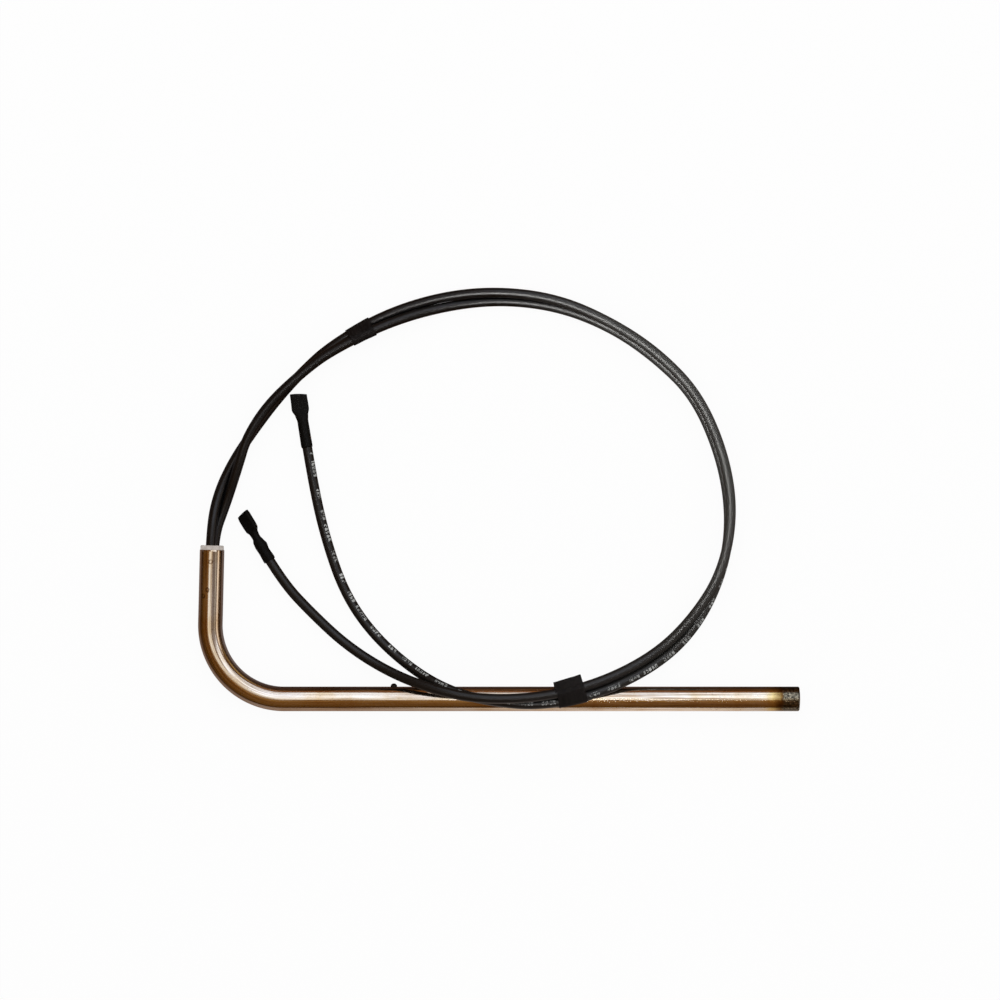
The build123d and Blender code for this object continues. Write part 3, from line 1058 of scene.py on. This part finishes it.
    def build_disc(self) -> bpy.types.Object:
        """Inset a short cylinder's face into a low dome and round its rim.

        Returns:
            The closing disc.
        """
        clear_selection()
        bpy.ops.mesh.primitive_cylinder_add(
            vertices=self.around,
            radius=self.outer,
            depth=self.tip_side,
            location=self.tip + Vector((self.tip_side / 2, 0, 0)),
            rotation=(0, math.pi / 2, 0),
        )
        disc = bpy.context.object
        disc.name = "closing_disc_welded"
        settle(disc)
        edit_faces(disc, lambda normal: normal.x > 0.9)
        for inset, share in self.dome_steps:
            bpy.ops.mesh.inset(thickness=inset, depth=(self.tip_cap - self.tip_side) * share)
        end_edit()
        edit_edges(disc, lambda start, end: self.on_disc_rim(start) and self.on_disc_rim(end))
        bpy.ops.mesh.bevel(offset=self.tip_corner, segments=5, affect="EDGES")
        end_edit()
        smooth(disc, 50)
        self.mark_places(disc)
        return disc

    def build_pip(self) -> bpy.types.Object:
        """Shape an uneven drop of weld metal that sits on the inner side of the long leg.

        Returns:
            The weld pip.
        """
        clear_selection()
        place = self.bend_start + Vector((self.pip_place, self.outer, 0))
        bpy.ops.mesh.primitive_ico_sphere_add(subdivisions=5, radius=self.pip_radius, location=place)
        pip = bpy.context.object
        pip.name = "weld_pip"
        settle(pip)
        for vertex in pip.data.vertices:
            arm = vertex.co - place
            lump = 1 - self.pip_unevenness * (0.5 + 0.5 * noise.noise(arm / self.pip_lump))
            vertex.co = place + arm * lump
        bpy.ops.object.mode_set(mode="EDIT")
        bpy.ops.mesh.select_all(action="SELECT")
        floor = place - Vector((0, self.pip_sunk, 0))
        bpy.ops.mesh.bisect(plane_co=floor, plane_no=(0, -1, 0), use_fill=True, clear_outer=True)
        close_normals(pip)
        smooth(pip, 60)
        self.mark_places(pip)
        return pip

    def build(self) -> None:
        """Build, dress and mount the three pieces."""
        stainless = HeatTintedStainless().make()
        oxide = MottledSolid("weld_oxide_scale", "#3A322A", "#191512", 0.9, 0.25, 0.5, 0.7).make()
        for piece, node, material in (
            (self.build_tube(), "sheath_tube", stainless),
            (self.build_disc(), "end_disc", stainless),
            (self.build_pip(), "stop_pip", oxide),
        ):
            dress(piece, material)
            mount(piece, "stainless", node)


# Leads


@dataclass(frozen=True)
class Lead:
    """One insulated lead as a round tube along its route."""

    name: str
    node: str
    route: Route
    exit: Vector
    real_length: float
    finish: ExtrudedPvc
    ink_turns: tuple[tuple[float, float], ...]
    radius: float = 2 * MM
    sides: int = 28

    def ink_angle(self, reach: float) -> float:
        """Angle of the ink line from the top at a distance along the lead."""
        before = self.ink_turns[0]
        for after in self.ink_turns:
            if reach < after[0]:
                share = (reach - before[0]) / max(1e-9, after[0] - before[0])
                return math.radians(before[1] + share * (after[1] - before[1]))
            before = after
        return math.radians(before[1])

    def build(self) -> bpy.types.Object:
        """Build the tube, with its skin laid flat in a UV map in metres.

        Returns:
            The lead.
        """
        points = []
        for i, middle in enumerate(self.route.points):
            left, up, _ = self.route.frame_at(i)
            for j in range(self.sides):
                angle = math.tau * j / self.sides
                points.append(middle + (up * math.cos(angle) + left * math.sin(angle)) * self.radius)
        rings = len(self.route.points)
        faces = ring_faces(0, self.sides, rings)
        faces.append(tuple(reversed(range(self.sides))))
        faces.append(tuple(range((rings - 1) * self.sides, rings * self.sides)))
        piece = mesh_piece(self.name, points, faces)
        uv = piece.data.uv_layers.new(name="skin")
        for polygon in piece.data.polygons:
            if len(polygon.vertices) != 4:
                continue
            columns = [v % self.sides for v in polygon.vertices]
            wraps = 0 in columns and self.sides - 1 in columns
            for loop, vertex in zip(polygon.loop_indices, polygon.vertices):
                ring, column = divmod(vertex, self.sides)
                turn = column + (self.sides if wraps and column == 0 else 0)
                angle = math.tau * turn / self.sides
                angle -= self.ink_angle(self.route.reach[ring])
                angle = (angle + math.pi) % math.tau - math.pi if not wraps else angle
                uv.data[loop].uv = (angle * self.radius, self.route.reach[ring])
        close_normals(piece)
        smooth(piece, 60)
        return piece


class SealHole(Enum):
    """The seal's two holes, by the side of its middle that each is on."""

    UPPER = 1
    LOWER = -1


@dataclass
class LeadPair:
    """The two leads, on the routes that the photograph shows."""

    sheath: Sheath
    lead_spacing: float = 4.06 * MM
    lead_tilt: float = math.radians(16.3)
    depth: float = 5.2 * MM
    seal_proud: float = 1.8 * MM

    def start(self, hole: SealHole, exit_run: float) -> list[Vector]:
        """The two points of a route that stand in the mouth.

        Args:
            hole: The hole that the lead leaves through.
            exit_run: How far the lead runs straight out of the mouth.

        Returns:
            The route's first two control points.
        """
        half = self.lead_spacing / 2 * hole.value
        middle = self.sheath.mouth + self.sheath.across * (half * math.sin(self.lead_tilt))
        middle += Vector((0, 0, half * math.cos(self.lead_tilt)))
        return [middle - self.sheath.outward * self.depth, middle + self.sheath.outward * exit_run]

    def build(self) -> tuple[Lead, Lead]:
        """Returns:
            Lead a and lead b.
        """
        leads = []
        for name, hole, exit_run, control, length, ink in (
            ("lead_a", SealHole.UPPER, 9.4 * MM, LEAD_A_POINTS, 0.580, NO_INK),
            ("lead_b", SealHole.LOWER, 5.8 * MM, LEAD_B_POINTS, 0.602, LEAD_B_INK),
        ):
            start = self.start(hole, exit_run)
            route = Route(name, start + in_metres(control))
            out = start[0] + self.sheath.outward * (self.depth + self.seal_proud)
            finish = ExtrudedPvc(f"black_pvc_{name}", ink is not NO_INK)
            leads.append(Lead(f"{name}_insulation", name, route, out, length, finish, ink))
        return leads[0], leads[1]

    def finish(self, lead: Lead, pieces: Sequence[bpy.types.Object]) -> None:
        """Args:
            lead: The lead.
            pieces: Tape, terminal and sleeve of the lead; not used.
        """
        piece = lead.build()
        dress(piece, lead.finish.make())
        mount(piece, "lead_insulation", lead.node)


# Tape


@dataclass(frozen=True)
class TapeWrap:
    """Two turns of tape round both leads, with its loose end stuck down or standing out as a flag."""

    name: str
    node: str
    centre: Vector
    width: float
    leads: tuple[Route, Route]
    flag: float = 0.0
    inner_gap: float = 0.03 * MM
    layer: float = 0.16 * MM
    turns: float = 2.3
    seam: tuple[float, float] = (5.05, 5.15)
    second_turn: tuple[float, float] = (0.70, 0.72)
    second_layers: float = 0.35
    ripple: float = 0.05 * MM
    corner: float = 0.16
    lead_radius: float = 2 * MM
    around: int = 96
    rings: int = 30

    def station(self, share: float) -> tuple[Vector, Vector, Vector, Vector]:
        """Centres of both leads and the tape's frame at a share of its width.

        Args:
            share: 0 at the tape's first edge and 1 at its other edge.

        Returns:
            Centre of lead a, centre of lead b, direction from b to a, and direction square to it.
        """
        first, second = self.leads
        i = first.nearest(self.centre)
        j = second.nearest(self.centre)
        offset = (share - 0.5) * self.width
        i += round(offset / first.step)
        here = self.slide(first, offset)
        ahead = first.heading(i)
        there = min(
            (self.on_line(second, k, here, ahead) for k in range(j - 14, j + 15)),
            key=lambda place: abs((place - here).dot(ahead)),
        )
        apart = (here - there).normalized()
        return here, there, apart, ahead.cross(apart).normalized()

    def slide(self, route: Route, offset: float) -> Vector:
        """A place on a route at an exact offset from the tape's middle."""
        middle = route.nearest(self.centre)
        target = route.reach[middle] + offset
        k = max(0, min(len(route.points) - 2, int(target / route.length * (len(route.points) - 1))))
        share = (target - route.reach[k]) / (route.reach[k + 1] - route.reach[k])
        return route.points[k].lerp(route.points[k + 1], share)

    def on_line(self, route: Route, k: int, here: Vector, ahead: Vector) -> Vector:
        """Where a route's run between two points comes nearest to the plane square to the tape."""
        a, b = route.points[k], route.points[k + 1]
        rate = (b - a).dot(ahead)
        share = 0.0 if abs(rate) < 1e-12 else (here - a).dot(ahead) / rate
        return a.lerp(b, min(1.0, max(0.0, share)))

    def outline(
        self, here: Vector, there: Vector, apart: Vector, square: Vector, angle: float, grow: float
    ) -> Vector:
        """A point of the taut outline round both leads.

        Args:
            here: Centre of lead a.
            there: Centre of lead b.
            apart: Direction from b to a.
            square: Direction square to it.
            angle: Angle round the outline, from apart.
            grow: Distance out from the leads' surface.

        Returns:
            The point.
        """
        end = there.lerp(here, ease(math.cos(angle), -self.corner, self.corner))
        return end + (apart * math.cos(angle) + square * math.sin(angle)) * (self.lead_radius + grow)

    def build(self, skin: bpy.types.Material) -> bpy.types.Object:
        """Wrap the tape, add its flag, and dress it.

        Args:
            skin: The tape's material.

        Returns:
            The finished tape.
        """
        points, flat = [], []
        stations = [self.station(r / self.rings) for r in range(self.rings + 1)]
        for side in (1, -1):
            for r in range(self.rings + 1):
                share = r / self.rings
                for c in range(self.around):
                    angle = math.tau * c / self.around
                    layers = self.turns - ease(angle, *self.seam)
                    layers += self.second_layers * ease(share, *self.second_turn)
                    wave = noise.noise(Vector((angle * 2.0, share * 5.0, self.width * 900)))
                    grow = self.inner_gap if side < 0 else self.layer * layers + self.ripple * wave
                    points.append(self.outline(*stations[r], angle, grow))
                    flat.append((angle * self.lead_radius * 1.6, share * self.width))
        ring, shell = self.around, self.around * (self.rings + 1)
        faces = ring_faces(0, ring, self.rings + 1) + ring_faces(shell, ring, self.rings + 1)
        for r in (0, self.rings):
            for c in range(ring):
                d = (c + 1) % ring
                faces.append((r * ring + c, r * ring + d, shell + r * ring + d, shell + r * ring + c))
        piece = mesh_piece(self.name, points, faces)
        uv = piece.data.uv_layers.new(name="skin")
        for loop in piece.data.loops:
            uv.data[loop.index].uv = flat[loop.vertex_index]
        close_normals(piece)
        if self.flag:
            self.add_flag(piece)
        smooth(piece, 50)
        dress(piece, skin)
        mount(piece, "tape", self.node)
        return piece

    def add_flag(self, piece: bpy.types.Object) -> None:
        """Join the doubled end of the tape that stands out from lead a."""
        columns, rows, thick = 14, 6, 0.22 * MM
        root, reach = 0.75 * self.lead_radius, self.flag + 0.25 * self.lead_radius + 0.4 * MM
        rise, droop, ripple = 1.1 * MM, 0.35 * MM, 0.25 * MM
        points, faces = [], []
        stations = [self.station(1.08 * c / columns) for c in range(columns + 1)]
        for side in (1, -1):
            for c in range(columns + 1):
                here, _, apart, square = stations[c]
                up = square if square.z > 0 else -square
                for r in range(rows + 1):
                    share = r / rows
                    wave = ripple * noise.noise(Vector((c * 0.45, r * 0.5, 3.1)))
                    lift = rise * (1 - share) - droop * share**2 + wave
                    points.append(here + apart * (root + reach * share) + up * (lift + side * thick))
        layer = (columns + 1) * (rows + 1)
        wide = rows + 1
        for c in range(columns):
            for r in range(rows):
                a = c * wide + r
                faces.append((a, a + 1, a + wide + 1, a + wide))
                faces.append((layer + a, layer + a + wide, layer + a + wide + 1, layer + a + 1))
        rim = [c * wide for c in range(columns + 1)]
        rim += [columns * wide + r for r in range(1, wide)]
        rim += [c * wide + rows for c in reversed(range(columns))]
        rim += [r for r in reversed(range(1, rows))]
        for a, b in zip(rim, rim[1:] + rim[:1]):
            faces.append((a, b, layer + b, layer + a))
        flag = mesh_piece(self.name + "_flag", points, faces)
        uv = flag.data.uv_layers.new(name="skin")
        for loop in flag.data.loops:
            column, row = divmod(loop.vertex_index % layer, wide)
            uv.data[loop.index].uv = (row * self.flag / rows, column * self.width / columns)
        close_normals(flag)
        make_active(piece)
        flag.select_set(True)
        bpy.ops.object.join()


# Shrink sleeves, and finishes of the CAD nodes


@dataclass(frozen=True)
class Station:
    """One cross-section of a shrink sleeve, in millimetres from the end of the lead's insulation."""

    place: float
    left: float
    right: float
    up: float
    down: float
    square: float = 2.0
    rolled: float = 0.0


@dataclass(frozen=True)
class ShrinkSleeve:
    """A shrunk sleeve whose skin follows the crimps and the flat receptacle under it."""

    name: str
    node: str
    route: Route
    stations: tuple[Station, ...]
    roll: float
    mouth_slant: float
    mouth_half_mm: float = 3.2
    mouth_run_mm: float = 3.0
    unevenness: float = 0.02
    wall: float = 0.2 * MM
    around: int = 48
    fill: int = 6

    def section(self, place: float) -> Station:
        """Cross-section at a place, eased between the stations."""
        for before, after in zip(self.stations, self.stations[1:]):
            if place <= after.place:
                share = ease(place, before.place, after.place)
                mixed = [
                    getattr(before, size) + (getattr(after, size) - getattr(before, size)) * share
                    for size in ("left", "right", "up", "down", "square", "rolled")
                ]
                return Station(place, *mixed)
        return self.stations[-1]

    def lip_reach(self, across: float) -> float:
        """How far the rounded mouth reaches past the last station.

        Args:
            across: Distance to the left of the sleeve's middle, in millimetres.

        Returns:
            The reach in millimetres.
        """
        share = 0.5 - 0.5 * math.copysign(across, across * self.mouth_slant) / self.mouth_half_mm
        return abs(self.mouth_slant) * self.mouth_half_mm * math.sin(math.pi / 2 * min(1.0, max(0.0, share)))

    def build(self, skin: bpy.types.Material) -> bpy.types.Object:
        """Loft the sleeve through its stations and give it its wall.

        Args:
            skin: The sleeve's material.

        Returns:
            The finished sleeve.
        """
        left, up, ahead = self.route.frame_at(len(self.route.points) - 1)
        origin = self.route.points[-1]
        first, last = self.stations[0].place, self.stations[-1].place
        count = self.fill * (len(self.stations) - 1)
        clear_selection()
        bpy.ops.mesh.primitive_circle_add(vertices=self.around, radius=1 * MM, location=origin)
        sleeve = bpy.context.object
        sleeve.name = self.name
        settle(sleeve)
        bpy.ops.object.mode_set(mode="EDIT")
        bpy.ops.mesh.select_all(action="SELECT")
        for _ in range(count):
            bpy.ops.mesh.extrude_region_move(TRANSFORM_OT_translate={"value": (0, 0, 0.1 * MM)})
        bpy.ops.object.mode_set(mode="OBJECT")
        ring_of = sorted({round(vertex.co.z, 7) for vertex in sleeve.data.vertices})
        for vertex in sleeve.data.vertices:
            arm = vertex.co - origin
            ring = ring_of.index(round(vertex.co.z, 7))
            place = first + (last - first) * ring / count
            section = self.section(place)
            angle = math.atan2(arm.y, arm.x)
            cosine, sine = math.cos(angle), math.sin(angle)
            power = 2 / section.square
            x = (section.left if cosine > 0 else section.right) * math.copysign(abs(cosine) ** power, cosine)
            y = (section.up if sine > 0 else section.down) * math.copysign(abs(sine) ** power, sine)
            wrinkle = 1 + self.unevenness * noise.noise(Vector((angle * 1.6, place * 0.35, self.roll)))
            turn = self.roll * section.rolled
            u = (x * math.cos(turn) - y * math.sin(turn)) * wrinkle
            v = (x * math.sin(turn) + y * math.cos(turn)) * wrinkle
            reach = self.lip_reach(u) * ease(place, last - self.mouth_run_mm, last)
            vertex.co = origin + (left * u + up * v + ahead * (place + reach)) * MM
        close_normals(sleeve)
        apply_modifier(sleeve, "SOLIDIFY", thickness=self.wall, offset=-1.0, use_even_offset=True)
        apply_modifier(sleeve, "SUBSURF", levels=1, render_levels=1)
        smooth(sleeve, 60)
        dress(sleeve, skin)
        mount(sleeve, "shrink_sleeve", self.node)
        return sleeve


@dataclass(frozen=True)
class CadFinishes:
    """Finishes of the CAD nodes that stay as they are."""

    def build(self) -> None:
        """Dress the seal, the terminals and the pieces inside the sheath."""
        looks = {
            "silicone": ("silicone_moulded_grey_white", "#D6CDC4", "#B3A9A0", 2.0, 0.3, 0.62),
            "magnesia": ("magnesia_extruded", "#E8E4DA", "#CFC8BA", 3.0, 0.2, 0.85),
            "nickel_alloy": ("nickel_alloy_drawn", "#B8B4AC", "#8F8A82", 1.5, 0.3, 0.35, 1.0),
            "glass_fibre_sleeving": ("glass_fibre_braided", "#E2DFD3", "#C9C4B4", 0.6, 0.3, 0.8),
            "tinned_brass": ("brass_tin_plated_pressed", "#C9C6BE", "#A5A096", 1.5, 0.3, 0.32, 1.0),
        }
        materials = {slot: MottledSolid(*look).make() for slot, look in looks.items()}
        for row in frame["record"]["subparts"]:
            if row["material_slot"] in materials:
                dress(frame["nodes"][row["node"]], materials[row["material_slot"]])
        LOG.info("CAD nodes dressed")


# Control points of the leads' lines after they leave the mouth, in millimetres, in the order of travel
LEAD_A_POINTS: tuple[Point, ...] = (
    (-114.3, 54.8, 2.95),
    (-108.6, 67.2, 2.0),
    (-101.2, 78.5, 2.0),
    (-90.4, 93.0, 2.0),
    (-79.4, 105.0, 2.0),
    (-68.8, 114.6, 2.3),
    (-48.3, 126.95, 2.3),
    (-24.4, 134.8, 2.55),
    (-0.5, 137.1, 4.9),
    (24.5, 133.8, 5.5),
    (47.2, 123.6, 5.7),
    (65.7, 111.0, 5.8),
    (81.5, 94.2, 5.9),
    (91.8, 69.8, 6.0),
    (95.2, 46.0, 6.15),
    (90.6, 22.5, 6.2),
    (79.0, 4.2, 5.3),
    (63.9, -10.7, 4.05),
    (41.2, -22.1, 12.7),
    (16.6, -28.0, 15.2),
    (-8.0, -28.6, 16.8),
    (-27.0, -24.6, 14.9),
    (-45.0, -17.8, 5.5),
    (-62.0, -7.2, 2.0),
    (-76.6, 6.4, 2.0),
    (-88.2, 19.0, 3.35),
    (-95.7, 31.6, 3.35),
)
LEAD_B_POINTS: tuple[Point, ...] = (
    (-111.25, 50.05, 2.0),
    (-105.9, 66.1, 5.7),
    (-102.5, 77.6, 6.5),
    (-93.5, 91.5, 6.1),
    (-78.7, 105.0, 6.4),
    (-68.2, 112.6, 6.1),
    (-46.05, 123.9, 5.4),
    (-22.7, 130.9, 2.0),
    (0.5, 133.6, 2.0),
    (24.5, 130.8, 2.0),
    (46.4, 122.0, 2.0),
    (64.4, 109.4, 2.0),
    (80.0, 93.9, 2.0),
    (90.4, 69.5, 2.0),
    (94.2, 46.5, 2.0),
    (92.0, 25.5, 2.0),
    (82.0, 2.5, 2.0),
    (66.15, -14.15, 2.35),
    (40.6, -26.7, 12.8),
    (16.2, -31.5, 11.8),
    (-6.5, -29.2, 12.1),
    (-22.7, -24.2, 11.6),
    (-37.8, -15.0, 3.0),
    (-52.5, -1.2, 2.0),
    (-62.9, 14.5, 2.0),
    (-70.0, 34.5, 2.0),
    (-75.3, 56.5, 2.5),
    (-78.8, 78.2, 2.5),
)
# Distance along lead b, in metres, and angle of its ink line to the left of the top, in degrees
LEAD_B_INK: tuple[tuple[float, float], ...] = (
    (0.0, 120.0),
    (0.30, 100.0),
    (0.36, 40.0),
    (0.40, 10.0),
    (0.47, -25.0),
    (0.60, -45.0),
)
NO_INK: tuple[tuple[float, float], ...] = ((0.0, 0.0),)
# Middles of the two tapes, in millimetres
TAPE_UPPER_MIDDLE: Point = (-56.2, 120.3, 4.0)
TAPE_LOWER_MIDDLE: Point = (28.9, -26.4, 14.5)
SLEEVE_A_STATIONS: tuple[Station, ...] = (
    Station(-4.9, 2.42, 2.42, 2.42, 2.42),
    Station(-4.2, 2.50, 2.55, 2.45, 2.45),
    Station(-0.4, 2.38, 2.28, 2.35, 2.35),
    Station(2.2, 2.50, 2.70, 2.45, 2.45),
    Station(4.2, 2.30, 2.20, 2.20, 2.20),
    Station(6.0, 1.60, 1.66, 1.62, 1.75, 2.2, 0.4),
    Station(8.1, 1.62, 1.90, 1.62, 1.90, 2.4, 0.8),
    Station(10.0, 3.10, 3.15, 0.90, 1.95, 3.4, 1.0),
    Station(12.0, 3.32, 3.32, 0.82, 1.90, 3.8, 1.0),
    Station(15.2, 3.30, 3.30, 0.82, 1.90, 3.8, 1.0),
    Station(16.6, 3.05, 3.05, 0.72, 1.80, 3.4, 1.0),
)
SLEEVE_B_STATIONS: tuple[Station, ...] = (
    Station(-4.9, 2.15, 2.15, 2.15, 2.15),
    Station(-4.2, 2.42, 2.30, 2.35, 2.35),
    Station(1.0, 2.36, 2.22, 2.25, 2.25),
    Station(6.2, 2.30, 2.20, 2.10, 2.10),
    Station(8.2, 2.75, 2.50, 1.60, 1.95, 2.6, 1.0),
    Station(11.0, 3.85, 3.25, 0.85, 1.88, 4.2, 1.0),
    Station(16.7, 3.55, 3.30, 0.78, 1.86, 4.2, 1.0),
)


def main() -> None:
    """Build every piece in order and report it."""
    logging.basicConfig(level=logging.INFO)
    Studio().build()
    sheath = Sheath()
    pair = LeadPair(sheath)
    lead_a, lead_b = pair.build()
    routes = (lead_a.route, lead_b.route)
    tape = CrepeTape().make()
    upper, lower = in_metres((TAPE_UPPER_MIDDLE, TAPE_LOWER_MIDDLE))
    tapes = [
        TapeWrap("tape_upper", "tape_wrap_upper", upper, 10.6 * MM, routes).build(tape),
        TapeWrap("tape_lower", "tape_wrap_lower", lower, 11.2 * MM, routes, flag=3.0 * MM).build(tape),
    ]
    shrunk = MottledSolid("shrink_sleeve_polyolefin", "#0A0A08", "#050504", 1.6, 0.25, 0.6, specular=0.16)
    shrunk_black = shrunk.make()
    sleeves = []
    for node, *shape in (
        ("terminal_sleeve_a", lead_a.route, SLEEVE_A_STATIONS, math.radians(-45), 0.38),
        ("terminal_sleeve_b", lead_b.route, SLEEVE_B_STATIONS, 0.0, -0.3),
    ):
        sleeves.append(ShrinkSleeve(f"{node}_shrunk", node, *shape).build(shrunk_black))
    pair.finish(lead_a, [*tapes, sleeves[0], frame["nodes"]["terminal_a"]])
    pair.finish(lead_b, [sleeves[1], frame["nodes"]["terminal_b"]])
    sheath.build()
    CadFinishes().build()


if __name__ == "__main__":
    main()
